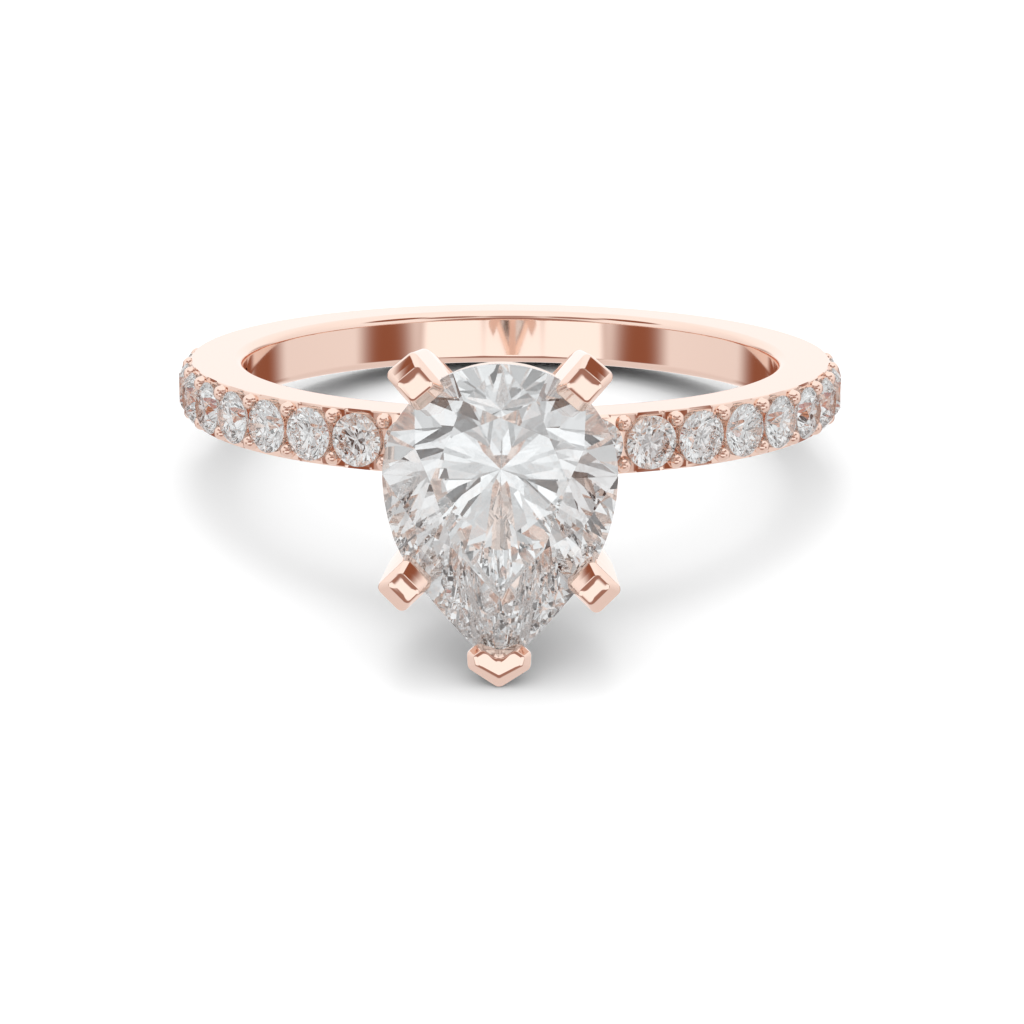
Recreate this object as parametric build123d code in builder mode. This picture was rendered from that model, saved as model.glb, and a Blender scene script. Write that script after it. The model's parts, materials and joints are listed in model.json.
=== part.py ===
from build123d import *

import os
from math import asin, atan2, cos, degrees, hypot, radians, sin, tan

# An engagement ring: a pear-cut stone held by four square claws and a V claw, on a
# band with a row of small round stones along its front half and plain metal behind.
#
# Every piece is drawn with the ring standing at the bench: the finger hole's axis is
# Z, its centre is the origin and the big stone faces -Y.  The finished pieces are
# then turned together about X, to the way the ring lies on a table: on the V claw
# and on the back of the band.

# ---------------------------------------------------------------- driving dimensions
# Band (mm)
finger_radius = 8.5
band_outer_radius = 10.17
band_width = 1.8
finger_edge_fillet = 0.3
outer_edge_fillet = 0.06

# Row of small round stones (mm, degrees round the finger hole from the big stone)
small_radius = 0.8
small_girdle_height = 10.28
small_row_start = 15.381
small_pitch = 9.626
small_count_per_side = 9
bead_radius = 0.25
bead_offset = 0.61
bead_top_height = 10.42
light_hole_radius = 0.36
light_hole_start_height = 7.5
light_hole_length = 2.2
edge_step_width = 0.12
edge_step_depth = 0.16
edge_step_length = 1.06

# Big stone (mm, degrees)
pear_half_width = 3.32
pear_round_end = 3.16
pear_flank_radius = 5.4
pear_flank_turn = 38
pear_point = 5.7
pear_girdle_height = 14.0
pear_girdle = 0.2
pear_crown = 0.95
pear_pavilion = 3.2

# Claws of the big stone (mm, degrees)
claw_width = 1.06
claw_foot_width = 0.6
claw_foot_height = 10.32
claw_foot_depth = 0.72
claw_top_height = 15.05
claw_splay = 9
claw_straight = 2.0
upper_claw_angle = 50.6
upper_claw_reach = (2.98, 4.4)
lower_claw_angle = -49
lower_claw_reach = (3.44, 4.7)
tip_bevel = 0.4
tip_side_bevel = 0.17

# V claw (mm, degrees)
v_point = 6.12
v_half_chevron = [(0.88, 5.48), (0.89, 5.08), (0.6, 4.8)]
v_notch = 4.99
v_top_height = 14.75
v_wall_depth = 1.2
v_wall_draft = 11
v_bar_width = 0.78
v_bar_depth = 0.8
v_bar_reach = 5.66
v_straight = 0.9
v_splay = 15
v_edge_bevel = 0.14
v_bar_top_drop = 0.42

# Gallery rail and the base with its peg (mm)
rail_height = 12.35
rail_depth = 0.6
rail_outer_scale = 0.93
rail_inner_scale = 0.79
rail_edge_fillet = 0.12
base_radius = 0.92
base_rim_radius = 1.2
base_bottom_height = 9.92
base_rim_height = 11.0
peg_radius = 0.5
peg_bottom_height = 8.95
culet_cup_radius = 0.62

# Proportions of the brilliant cut, as parts of the stone's own size
table_part = 0.58
star_tip_part = 0.69
lower_half_part = 0.787
small_girdle_part = 0.07
small_crown_part = 0.30
small_pavilion_part = 0.86


# ---------------------------------------------------------------- where things are
def on_band(angle, height, along=0.0):
    """Plane on the band: angle round from the big stone, Z outwards, X round the band."""
    turn = radians(angle)
    outwards = Vector(sin(turn), -cos(turn), 0)
    round_band = Vector(cos(turn), sin(turn), 0)
    return Plane(outwards * height + Vector(0, 0, along), x_dir=round_band, z_dir=outwards)


# The head's plane: X across, Y towards the pear's round end, Z out from the finger.
head = Plane(origin=(0, 0, 0), x_dir=(1, 0, 0), z_dir=(0, -1, 0))


def claw_side(angle):
    """Plane of one claw's side view: X out along the claw, Y out from the finger."""
    turn = radians(angle)
    return Plane(origin=(0, 0, 0), x_dir=(cos(turn), 0, sin(turn)), z_dir=(sin(turn), 0, -cos(turn)))


row_angles = [small_row_start + small_pitch * step for step in range(small_count_per_side)]
bead_angles = [small_row_start + small_pitch * (step - 0.5) for step in range(small_count_per_side + 1)]


# ---------------------------------------------------------------- brilliant cutting
def round_rim(turn):
    """Point on a small stone's rim whose outward direction is turn degrees."""
    return Vector(small_radius * cos(radians(turn)), small_radius * sin(radians(turn)), 0)


pear_flank_centre = Vector(pear_half_width - pear_flank_radius, 0, 0)
flank_end_turn = radians(-pear_flank_turn)
flank_end = pear_flank_centre + Vector(cos(flank_end_turn), sin(flank_end_turn), 0) * pear_flank_radius
point_chord = hypot(flank_end.X, flank_end.Y + pear_point)
point_bend = radians(90 - pear_flank_turn) - atan2(flank_end.Y + pear_point, flank_end.X)
pear_point_radius = point_chord / (2 * sin(point_bend))
pear_point_turn = pear_flank_turn + 2 * degrees(point_bend)


def pear_rim(turn):
    """Point on the pear's rim whose outward direction is turn degrees (-90 is the point)."""
    if abs(turn + 90) < 90 - pear_point_turn:
        return Vector(0, -pear_point, 0)
    side = 1 if cos(radians(turn)) >= 0 else -1
    facing = asin(sin(radians(turn)))
    direction = Vector(cos(facing), sin(facing), 0)
    if facing >= 0:
        reach = hypot(pear_half_width * direction.X, pear_round_end * direction.Y)
        rim = Vector(pear_half_width**2 * direction.X, pear_round_end**2 * direction.Y) / reach
    elif facing >= flank_end_turn:
        rim = pear_flank_centre + direction * pear_flank_radius
    else:
        end_direction = Vector(cos(flank_end_turn), sin(flank_end_turn), 0)
        rim = flank_end + (direction - end_direction) * pear_point_radius
    return Vector(side * rim.X, rim.Y, 0)


def facet_through(a, b, c):
    """Plane through three points of a stone, facing away from the stone's middle."""
    facing = (b - a).cross(c - a).normalized()
    if facing.dot(a) < 0:
        facing = facing * -1
    return Plane(origin=a, z_dir=facing)


def facet_on_rim(rim_point, turn, target):
    """Plane that touches the rim at rim_point and reaches the target point."""
    along_rim = Vector(-sin(radians(turn)), cos(radians(turn)), 0)
    return facet_through(rim_point, rim_point + along_rim, target)


def meeting_point(first, second, height):
    """Point where two facet planes and one level meet."""
    a, b = first.z_dir, second.z_dir
    a_side = a.dot(first.origin) - a.Z * height
    b_side = b.dot(second.origin) - b.Z * height
    spread = a.X * b.Y - a.Y * b.X
    return Vector((a_side * b.Y - b_side * a.Y) / spread, (a.X * b_side - b.X * a_side) / spread, height)


def crown_facets(rim, mains, halves, girdle_top, crown):
    """Planes of the table, the kites, the stars and the upper halves."""
    level = Vector(0, 0, girdle_top)
    table_level = Vector(0, 0, girdle_top + crown)
    rim_points = [rim(turn) + level for turn in mains]
    corners = [rim(turn) * table_part + table_level for turn in mains]
    kites = [facet_on_rim(point, turn, corner) for point, turn, corner in zip(rim_points, mains, corners)]
    planes = [Plane(origin=table_level, z_dir=(0, 0, 1))] + kites
    for index, half in enumerate(halves):
        following = (index + 1) % len(mains)
        tip = meeting_point(kites[index], kites[following], girdle_top + star_tip_part * crown)
        half_point = rim(half) + level
        planes.append(facet_through(corners[index], corners[following], tip))
        planes.append(facet_through(tip, rim_points[index], half_point))
        planes.append(facet_through(tip, rim_points[following], half_point))
    return planes


def pavilion_facets(rim, mains, halves, girdle_bottom, pavilion):
    """Planes of the pavilion's mains and lower halves."""
    level = Vector(0, 0, -girdle_bottom)
    culet = Vector(0, 0, -girdle_bottom - pavilion)
    rim_points = [rim(turn) + level for turn in mains]
    faces = [facet_on_rim(point, turn, culet) for point, turn in zip(rim_points, mains)]
    planes = list(faces)
    for index, half in enumerate(halves):
        following = (index + 1) % len(mains)
        tip = meeting_point(faces[index], faces[following], -girdle_bottom - lower_half_part * pavilion)
        half_point = rim(half) + level
        planes.append(facet_through(tip, rim_points[index], half_point))
        planes.append(facet_through(tip, rim_points[following], half_point))
    return planes


# Outward directions of the mains, and of the points between them, once round each stone
round_mains = [45 * step for step in range(8)]
round_halves = [turn + 22.5 for turn in round_mains]
pear_crown_mains = [90, 45, 0, -38, -90, -142, -180, -225]
pear_crown_halves = [67.5, 22.5, -20, -44, -136, -160, -202.5, -247.5]
pear_pavilion_mains = [90, 45, 0, -22, -41, -139, -158, -180, -225]
pear_pavilion_halves = [67.5, 22.5, -12, -33, -90, -147, -168, -202.5, -247.5]


def cut_small_stone():
    """Round brilliant with its girdle round the origin and its table up."""
    half_girdle = small_girdle_part * small_radius / 2
    crown = small_crown_part * small_radius
    pavilion = small_pavilion_part * small_radius
    facets = crown_facets(round_rim, round_mains, round_halves, half_girdle, crown)
    facets += pavilion_facets(round_rim, round_mains, round_halves, half_girdle, pavilion)
    with BuildPart() as stone:
        Cylinder(small_radius, 2 * (half_girdle + pavilion))
        for facet in facets:
            split(bisect_by=facet, keep=Keep.BOTTOM)
    return stone.part


def pear_face(size):
    """Pear outline as a face, size times as large as the stone."""
    point = Vector(0, -pear_point) * size
    flank_heading = (sin(flank_end_turn), -cos(flank_end_turn))
    with BuildSketch() as outline:
        with BuildLine():
            EllipticalCenterArc((0, 0), pear_half_width * size, pear_round_end * size, 0, arc_size=180)
            CenterArc(pear_flank_centre * size, pear_flank_radius * size, -pear_flank_turn, pear_flank_turn)
            CenterArc(pear_flank_centre * -size, pear_flank_radius * size, 180, pear_flank_turn)
            right_end = flank_end * size
            TangentArc(right_end, point, tangent=flank_heading)
            TangentArc((-right_end.X, right_end.Y), point, tangent=(-flank_heading[0], flank_heading[1]))
        make_face()
    return outline.sketch


# ---------------------------------------------------------------- big stone
half_girdle = pear_girdle / 2
pear_facets = crown_facets(pear_rim, pear_crown_mains, pear_crown_halves, half_girdle, pear_crown)
pear_facets += pavilion_facets(pear_rim, pear_pavilion_mains, pear_pavilion_halves, half_girdle, pear_pavilion)
with BuildPart() as cut_pear:
    with BuildSketch(Plane.XY.offset(-half_girdle - pear_pavilion)):
        add(pear_face(1))
    extrude(amount=pear_pavilion + pear_girdle + pear_crown)
    for facet in pear_facets:
        split(bisect_by=facet, keep=Keep.BOTTOM)

with BuildPart() as centre_stone:
    add(cut_pear.part.moved(head.offset(pear_girdle_height).location))

# ---------------------------------------------------------------- head base and peg
with BuildPart() as head_base:
    with BuildSketch(Plane(origin=(0, 0, 0), x_dir=(1, 0, 0), z_dir=(0, 0, 1))) as base_section:
        with BuildLine():
            Polyline(
                (0, -peg_bottom_height),
                (peg_radius, -peg_bottom_height),
                (peg_radius, -base_bottom_height),
                (base_radius, -base_bottom_height),
                (base_rim_radius, -base_rim_height),
                (culet_cup_radius, -base_rim_height),
                (0, -base_rim_height + culet_cup_radius),
                close=True,
            )
        make_face()
    revolve(axis=Axis.Y)

# ---------------------------------------------------------------- gallery rail
with BuildPart() as gallery_rail:
    with BuildSketch(head.offset(rail_height)):
        add(pear_face(rail_outer_scale))
    extrude(amount=rail_depth)
    with BuildSketch(head.offset(rail_height)):
        add(pear_face(rail_inner_scale))
    extrude(amount=rail_depth, mode=Mode.SUBTRACT)
    rail_rims = gallery_rail.faces().sort_by(Axis.Y)
    fillet(rail_rims[0].edges() + rail_rims[-1].edges(), rail_edge_fillet)


# ---------------------------------------------------------------- claws
def square_claw(angle, reach):
    """One square claw: a bar that leaves the base, turns up and closes over the stone."""
    inner, outer = reach
    bevel_start = claw_top_height - tip_bevel
    downwards = Vector(-sin(radians(claw_splay)), -cos(radians(claw_splay)))
    outer_top = Vector(outer, bevel_start)
    inner_top = Vector(inner, bevel_start)
    outer_knee = outer_top + downwards * claw_straight
    inner_knee = inner_top + downwards * claw_straight
    outer_foot = Vector(base_radius, claw_foot_height)
    inner_foot = outer_foot + Vector(0, claw_foot_depth)
    with BuildPart() as claw:
        with BuildSketch(claw_side(angle)):
            with BuildLine():
                Line(outer_top, outer_knee)
                TangentArc(outer_knee, outer_foot, tangent=downwards)
                Line(outer_foot, inner_foot)
                TangentArc(inner_knee, inner_foot, tangent=downwards)
                Polyline(
                    inner_knee,
                    inner_top,
                    (inner + tip_bevel, claw_top_height),
                    (outer - tip_bevel, claw_top_height),
                    outer_top,
                )
            make_face()
        extrude(amount=claw_width / 2, both=True)
        tip_edges = claw.faces().sort_by(Axis.Y)[0].edges()
        chamfer(tip_edges.sort_by(SortBy.LENGTH)[:2], tip_side_bevel)
        # The bar narrows towards its foot
        foot_lean = degrees(atan2((claw_width - claw_foot_width) / 2, outer))
        for side, kept in ((1, Keep.BOTTOM), (-1, Keep.TOP)):
            foot_corner = claw_side(angle).offset(side * claw_foot_width / 2)
            split(bisect_by=foot_corner.rotated((0, side * foot_lean, 0)), keep=kept)
        add(centre_stone.part, mode=Mode.SUBTRACT)
        add(gallery_rail.part, mode=Mode.SUBTRACT)
        add(head_base.part, mode=Mode.SUBTRACT)
    return claw.part


claws = {
    "claw_upper_right": square_claw(upper_claw_angle, upper_claw_reach),
    "claw_upper_left": square_claw(180 - upper_claw_angle, upper_claw_reach),
    "claw_lower_right": square_claw(lower_claw_angle, lower_claw_reach),
    "claw_lower_left": square_claw(180 - lower_claw_angle, lower_claw_reach),
}


# ---------------------------------------------------------------- V claw
with BuildPart() as v_claw:
    # The wall round the stone's point, as a chevron seen from the front
    with BuildSketch(head.offset(v_top_height)):
        with BuildLine():
            right_side = Polyline((0, -v_point), *[(x, -y) for x, y in v_half_chevron], (0, -v_notch))
            mirror(right_side, about=Plane.YZ)
        make_face()
    extrude(amount=-v_wall_depth, taper=v_wall_draft)
    chamfer(v_claw.faces().sort_by(Axis.Y)[0].edges(), v_edge_bevel)
    # The bar that carries it from the base
    v_down = Vector(-sin(radians(v_splay)), -cos(radians(v_splay)))
    v_outer_top = Vector(v_bar_reach, v_top_height - v_bar_top_drop)
    v_outer_knee = v_outer_top + v_down * v_straight
    v_inner_knee = v_outer_knee - Vector(v_bar_depth, 0)
    v_foot = Vector(base_radius, claw_foot_height)
    v_inner_foot = v_foot + Vector(0, claw_foot_depth)
    with BuildSketch(claw_side(-90)):
        with BuildLine():
            Line(v_outer_top, v_outer_knee)
            TangentArc(v_outer_knee, v_foot, tangent=v_down)
            Line(v_foot, v_inner_foot)
            TangentArc(v_inner_knee, v_inner_foot, tangent=v_down)
            Polyline(v_inner_knee, v_outer_top - Vector(v_bar_depth, 0), v_outer_top)
        make_face()
    extrude(amount=v_bar_width / 2, both=True)
    add(centre_stone.part, mode=Mode.SUBTRACT)
    add(gallery_rail.part, mode=Mode.SUBTRACT)
    add(head_base.part, mode=Mode.SUBTRACT)

# ---------------------------------------------------------------- small stones
small_stone = cut_small_stone()
row = {}
for number, angle in enumerate(row_angles, start=1):
    row[f"small_stone_right_{number}"] = small_stone.moved(on_band(angle, small_girdle_height).location)
    row[f"small_stone_left_{number}"] = small_stone.moved(on_band(-angle, small_girdle_height).location)

# ---------------------------------------------------------------- band
with BuildPart() as band:
    with BuildSketch(Plane.XZ) as band_section:
        with Locations(((finger_radius + band_outer_radius) / 2, 0)):
            Rectangle(band_outer_radius - finger_radius, band_width)
        section_corners = band_section.vertices().group_by(Axis.X)
        fillet(section_corners[0], finger_edge_fillet)
        fillet(section_corners[-1], outer_edge_fillet)
    revolve(axis=Axis.Z)
    # Steps cut into both edges beside each stone
    step_centre = (band_width - edge_step_width) / 2
    step_places = [
        on_band(side * angle, band_outer_radius - edge_step_depth / 2, edge * step_centre)
        for angle in row_angles
        for side in (1, -1)
        for edge in (1, -1)
    ]
    with Locations(*step_places):
        Box(edge_step_length, edge_step_width, edge_step_depth, mode=Mode.SUBTRACT)
    # Beads between the stones, four touching each stone
    bead_foot = finger_radius + (band_outer_radius - finger_radius) / 2
    bead_places = [
        on_band(side * angle, bead_foot, edge * bead_offset)
        for angle in bead_angles
        for side in (1, -1)
        for edge in (1, -1)
    ]
    bead_ball_height = bead_top_height - bead_radius - bead_foot
    with Locations(*bead_places):
        Cylinder(bead_radius, bead_ball_height, align=(Align.CENTER, Align.CENTER, Align.MIN))
        with Locations((0, 0, bead_ball_height)):
            Sphere(bead_radius)
    # Seats cut to the stones, and a light hole under each
    light_hole_places = [on_band(side * angle, light_hole_start_height) for angle in row_angles for side in (1, -1)]
    with Locations(*light_hole_places):
        Cylinder(
            light_hole_radius,
            light_hole_length,
            align=(Align.CENTER, Align.CENTER, Align.MIN),
            mode=Mode.SUBTRACT,
        )
    add(list(row.values()), mode=Mode.SUBTRACT)
    add(head_base.part, mode=Mode.SUBTRACT)

# ---------------------------------------------------------------- laid on the table
v_rest_height = v_top_height - v_edge_bevel
v_rest_drop = v_point - v_edge_bevel * tan(radians(v_wall_draft))
lean = degrees(atan2(v_rest_drop - band_width / 2, v_rest_height + band_outer_radius))
lying = Location((0, 0, 0), (-lean, 0, 0))

os.makedirs("parts", exist_ok=True)
pieces = {"band": band.part, "head_base": head_base.part, "gallery_rail": gallery_rail.part}
pieces.update(claws)
pieces["claw_v"] = v_claw.part
pieces["centre_stone"] = centre_stone.part
pieces.update(row)
for label, piece in pieces.items():
    laid = piece.moved(lying)
    laid.label = label
    export_step(laid, f"parts/{label}.step")
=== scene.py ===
import json
from math import asin, atan2, cos, degrees, hypot, pi, radians, sin, tan

import bmesh
import bpy
from mathutils import Matrix, Vector


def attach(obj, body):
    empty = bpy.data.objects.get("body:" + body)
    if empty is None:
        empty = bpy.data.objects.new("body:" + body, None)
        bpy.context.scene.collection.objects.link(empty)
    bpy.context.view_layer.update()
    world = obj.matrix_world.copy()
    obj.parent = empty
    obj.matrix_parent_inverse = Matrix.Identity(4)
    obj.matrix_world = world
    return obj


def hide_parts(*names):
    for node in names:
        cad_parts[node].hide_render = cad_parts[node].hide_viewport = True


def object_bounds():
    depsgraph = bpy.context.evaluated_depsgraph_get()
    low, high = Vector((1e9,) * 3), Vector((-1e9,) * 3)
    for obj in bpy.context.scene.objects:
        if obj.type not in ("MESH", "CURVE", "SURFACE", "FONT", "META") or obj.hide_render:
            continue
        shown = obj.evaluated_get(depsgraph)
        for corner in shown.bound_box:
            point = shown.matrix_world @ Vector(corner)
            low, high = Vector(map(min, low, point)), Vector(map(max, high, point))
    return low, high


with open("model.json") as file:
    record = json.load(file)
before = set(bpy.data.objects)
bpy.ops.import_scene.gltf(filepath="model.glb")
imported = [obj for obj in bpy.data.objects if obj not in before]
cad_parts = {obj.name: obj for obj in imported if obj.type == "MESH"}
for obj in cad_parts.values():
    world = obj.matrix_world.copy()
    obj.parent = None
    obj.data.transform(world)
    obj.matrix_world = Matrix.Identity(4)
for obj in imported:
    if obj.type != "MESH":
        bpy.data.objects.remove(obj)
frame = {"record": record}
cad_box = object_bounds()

# An engagement ring.  Its pieces are drawn with the ring standing at the bench, in
# millimetres: the finger hole's axis is Z, the big stone faces -Y, and the head's
# height is counted out from the finger.  They are then laid on the table with the
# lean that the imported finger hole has.

# ---------------------------------------------------------------- sizes (mm, degrees)
finger_radius = 8.5
band_outer_radius = 10.17
band_width = 1.8
finger_edge_fillet = 0.3
outer_edge_fillet = 0.05

small_radius = 0.8
small_girdle_height = 10.28
small_row_start = 15.381
small_pitch = 9.626
small_count_per_side = 9
bead_radius = 0.23
bead_offset = 0.615
bead_top_height = 10.45
bead_foot_height = 9.4
bead_steps = 40
bead_blend = 0.05
bead_roughness = 0.16
step_inner_edge = 0.79
step_overrun = 0.2
step_depth = 0.045
light_hole_radius = 0.36
hole_overrun = 0.6
seat_opening = 0.5
seat_gap = 0.015

pear_half_width = 3.32
pear_round_end = 3.16
pear_flank_radius = 5.4
pear_flank_turn = 38
pear_point = 5.7
pear_girdle_height = 14.0
pear_girdle = 0.2
pear_crown = 0.95
pear_pavilion = 3.2

claw_top_height = 15.05
claw_splay = 9
claw_straight = 2.0
claw_foot_height = 10.32
claw_foot_depth = 0.72
claw_foot_width = 0.6
claw_width = 1.07
claw_corner = 0.2
claw_base_inset = 0.2
claw_arc_steps = 26
claw_side_steps = 5
claw_seat_scale = 1.004
upper_claw_angle = 49.6
upper_claw_reach = (2.91, 4.33)
lower_claw_angle = -49
lower_claw_reach = (3.44, 4.7)
lower_claw_twist = 4.5

v_top_height = 14.75
v_wall_depth = 1.2
v_wall_draft = 11
v_dome = 0.02
v_bar_reach = 5.66
v_bar_top_drop = 0.42
v_bar_depth = 0.8
v_bar_width = 0.78
v_bar_corner = 0.1
v_bar_splay = 15
v_bar_straight = 0.9

rail_height = 12.35
rail_depth = 0.6
rail_corner = 0.04
rail_outer_scale = 0.93
rail_inner_scale = 0.79
base_radius = 0.92
base_rim_radius = 1.2
base_bottom_height = 9.92
base_rim_height = 11.0
culet_cup_radius = 0.62

# Proportions of the brilliant cut, as parts of each stone's own size
table_part = 0.58
star_tip_part = 0.69
lower_half_part = 0.787
small_girdle_part = 0.07
small_crown_part = 0.30
small_pavilion_part = 0.86

record = frame["record"]
finger_bore = next(mount for mount in record["mounts"] if mount["name"] == "finger_bore")
lean = atan2(finger_bore["axis"][1], finger_bore["axis"][2])
to_table = Matrix.Rotation(-lean, 4, "X") @ Matrix.Scale(0.001, 4)


# ---------------------------------------------------------------- places on the ring
def on_head(across, up, height):
    """Point on the head: across the pear, up towards its round end, out from the finger."""
    return Vector((across, -height, up))


# ---------------------------------------------------------------- mesh building
def mesh_from_rings(name, rings, closed=False, capped=True):
    """Mesh through rings of equal point counts, closed on itself or capped at its ends."""
    count = len(rings[0])
    points = [tuple(point) for ring in rings for point in ring]
    faces = []
    spans = len(rings) if closed else len(rings) - 1
    for ring in range(spans):
        first = ring * count
        second = ((ring + 1) % len(rings)) * count
        for index in range(count):
            following = (index + 1) % count
            faces.append((first + index, first + following, second + following, second + index))
    if capped and not closed:
        faces.append(tuple(range(count - 1, -1, -1)))
        faces.append(tuple((len(rings) - 1) * count + index for index in range(count)))
    mesh = bpy.data.meshes.new(name)
    mesh.from_pydata(points, [], faces)
    face_outwards(mesh)
    return mesh


def face_outwards(mesh):
    work = bmesh.new()
    work.from_mesh(mesh)
    bmesh.ops.recalc_face_normals(work, faces=work.faces)
    work.to_mesh(mesh)
    work.free()


def lathe(name, profile, steps, place=None, closed=True):
    """Profile of (radius, height) points turned about Z, then put in place."""
    rings = []
    for step in range(steps):
        turn = 2 * pi * step / steps
        across, back = cos(turn), sin(turn)
        rings.append([Vector((radius * across, radius * back, height)) for radius, height in profile])
    mesh = mesh_from_rings(name, rings, closed=True)
    if not closed:
        work = bmesh.new()
        work.from_mesh(mesh)
        bmesh.ops.remove_doubles(work, verts=work.verts, dist=1e-6)
        work.to_mesh(mesh)
        work.free()
        face_outwards(mesh)
    if place is not None:
        mesh.transform(place)
    return mesh


def joined(name, meshes):
    work = bmesh.new()
    for mesh in meshes:
        work.from_mesh(mesh)
        bpy.data.meshes.remove(mesh)
    whole = bpy.data.meshes.new(name)
    work.to_mesh(whole)
    work.free()
    return whole


def combined(mesh, other, operation):
    """Boolean of two closed meshes, as a new mesh."""
    base = bpy.data.objects.new("base", mesh)
    tool = bpy.data.objects.new("tool", other)
    for obj in (base, tool):
        bpy.context.scene.collection.objects.link(obj)
    modifier = base.modifiers.new("combine", "BOOLEAN")
    modifier.operation = operation
    modifier.solver = "MANIFOLD"
    modifier.object = tool
    result = bpy.data.meshes.new_from_object(base.evaluated_get(bpy.context.evaluated_depsgraph_get()))
    for obj in (base, tool):
        bpy.data.objects.remove(obj)
    return result


def smooth_normals(mesh, edge_angle):
    """Smooth shading that keeps flat faces flat and breaks at sharp edges."""
    mesh.shade_smooth()
    mesh.set_sharp_from_angle(angle=radians(edge_angle))
    obj = bpy.data.objects.new("shaded", mesh)
    bpy.context.scene.collection.objects.link(obj)
    modifier = obj.modifiers.new("weights", "WEIGHTED_NORMAL")
    modifier.keep_sharp = True
    modifier.mode = "FACE_AREA"
    result = bpy.data.meshes.new_from_object(obj.evaluated_get(bpy.context.evaluated_depsgraph_get()))
    bpy.data.objects.remove(obj)
    return result


def soft_normals(mesh, edge_angle):
    """Smooth shading that lets polished faces pillow a little."""
    mesh.shade_smooth()
    mesh.set_sharp_from_angle(angle=radians(edge_angle))
    return mesh


def finish_piece(name, mesh, material, slot, *nodes):
    """Lay a finished mesh on the table as a piece that stands for its CAD nodes."""
    mesh.transform(to_table)
    mesh.name = name
    mesh.materials.clear()
    mesh.materials.append(material)
    piece = bpy.data.objects.new(name, mesh)
    bpy.context.scene.collection.objects.link(piece)
    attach(piece, "root")
    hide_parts(*nodes)
    return piece


def turned(spoke, turn):
    """Flat vector turned anticlockwise."""
    return Vector((spoke.x * cos(turn) - spoke.y * sin(turn), spoke.x * sin(turn) + spoke.y * cos(turn)))


def rounded_corner(before, corner, after, radius, steps):
    """Points of the arc that rounds one corner between its two neighbours."""
    here = Vector(corner)
    back = (Vector(before) - here).normalized()
    forward = (Vector(after) - here).normalized()
    half = back.angle(forward) / 2
    centre = here + (back + forward).normalized() * (radius / sin(half))
    start = here + back * (radius / tan(half)) - centre
    end = here + forward * (radius / tan(half)) - centre
    sweep = atan2(start.x * end.y - start.y * end.x, start.dot(end))
    return [centre + turned(start, sweep * step / steps) for step in range(steps + 1)]


def rounded_outline(corners, radii, steps=6):
    """Closed polygon with each corner rounded to its radius, as a list of points."""
    outline = []
    for index, corner in enumerate(corners):
        following = corners[(index + 1) % len(corners)]
        outline += rounded_corner(corners[index - 1], corner, following, radii[index], steps)
    return outline


def inset(outline, distance):
    """The outline moved inwards, for one that runs anticlockwise."""
    moved = []
    count = len(outline)
    for index, point in enumerate(outline):
        along = outline[(index + 1) % count] - outline[index - 1]
        inwards = Vector((-along.y, along.x)).normalized()
        moved.append(point + inwards * distance)
    return moved


def tangent_arc(start, heading, end, steps):
    """Points of the arc from start to end that leaves start along its heading."""
    chord = end - start
    bend = atan2(heading.x * chord.y - heading.y * chord.x, heading.dot(chord))
    radius = chord.length / (2 * sin(bend))
    normal = Vector((-heading.y, heading.x))
    centre = start + normal * radius
    return [centre + turned(start - centre, 2 * bend * step / steps) for step in range(steps + 1)]


# ---------------------------------------------------------------- materials
rose_gold_colour = (0.94, 0.74, 0.64, 1)
polish_haze_scale = 900
polish_brightest = 0.03
polish_haziest = 0.09
diamond_refraction = 2.417
floor_shade = 0.93


def new_material(name):
    material = bpy.data.materials.new(name)
    material.use_nodes = True
    return material, material.node_tree.nodes, material.node_tree.links


def polished_rose_gold(name):
    """Polished alloy with the faint haze that a polishing wheel leaves, as roughness that varies in soft
    patches.
    """
    material, nodes, links = new_material(name)
    shader = nodes["Principled BSDF"]
    shader.inputs["Base Color"].default_value = rose_gold_colour
    shader.inputs["Metallic"].default_value = 1.0
    place = nodes.new("ShaderNodeTexCoord")
    haze = nodes.new("ShaderNodeTexNoise")
    haze.inputs["Scale"].default_value = polish_haze_scale
    haze.inputs["Detail"].default_value = 3
    haze_range = nodes.new("ShaderNodeMapRange")
    haze_range.inputs["To Min"].default_value = polish_brightest
    haze_range.inputs["To Max"].default_value = polish_haziest
    links.new(place.outputs["Object"], haze.inputs["Vector"])
    links.new(haze.outputs["Fac"], haze_range.inputs["Value"])
    links.new(haze_range.outputs["Result"], shader.inputs["Roughness"])
    return material


def beaded_rose_gold():
    """The band's polish, satin on the beads, where the beading tool has pressed them round."""
    material = polished_rose_gold("rose_gold_band")
    nodes, links = material.node_tree.nodes, material.node_tree.links
    place, haze_range = nodes["Texture Coordinate"], nodes["Map Range"]
    from_axis = nodes.new("ShaderNodeVectorMath")
    from_axis.operation = "CROSS_PRODUCT"
    from_axis.inputs[1].default_value = finger_bore["axis"]
    links.new(place.outputs["Object"], from_axis.inputs[0])
    height = nodes.new("ShaderNodeVectorMath")
    height.operation = "LENGTH"
    links.new(from_axis.outputs["Vector"], height.inputs[0])
    on_bead = nodes.new("ShaderNodeMapRange")
    on_bead.inputs["From Min"].default_value = band_outer_radius / 1000
    on_bead.inputs["From Max"].default_value = (band_outer_radius + bead_blend) / 1000
    links.new(height.outputs["Value"], on_bead.inputs["Value"])
    finish = nodes.new("ShaderNodeMix")
    finish.inputs["B"].default_value = bead_roughness
    links.new(on_bead.outputs["Result"], finish.inputs["Factor"])
    links.new(haze_range.outputs["Result"], finish.inputs["A"])
    links.new(finish.outputs["Result"], nodes["Principled BSDF"].inputs["Roughness"])
    return material


def clear_diamond():
    material, nodes, links = new_material("diamond")
    shader = nodes["Principled BSDF"]
    shader.inputs["Base Color"].default_value = (1, 1, 1, 1)
    shader.inputs["Roughness"].default_value = 0.0
    shader.inputs["IOR"].default_value = diamond_refraction
    shader.inputs["Transmission Weight"].default_value = 1.0
    return material


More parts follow.
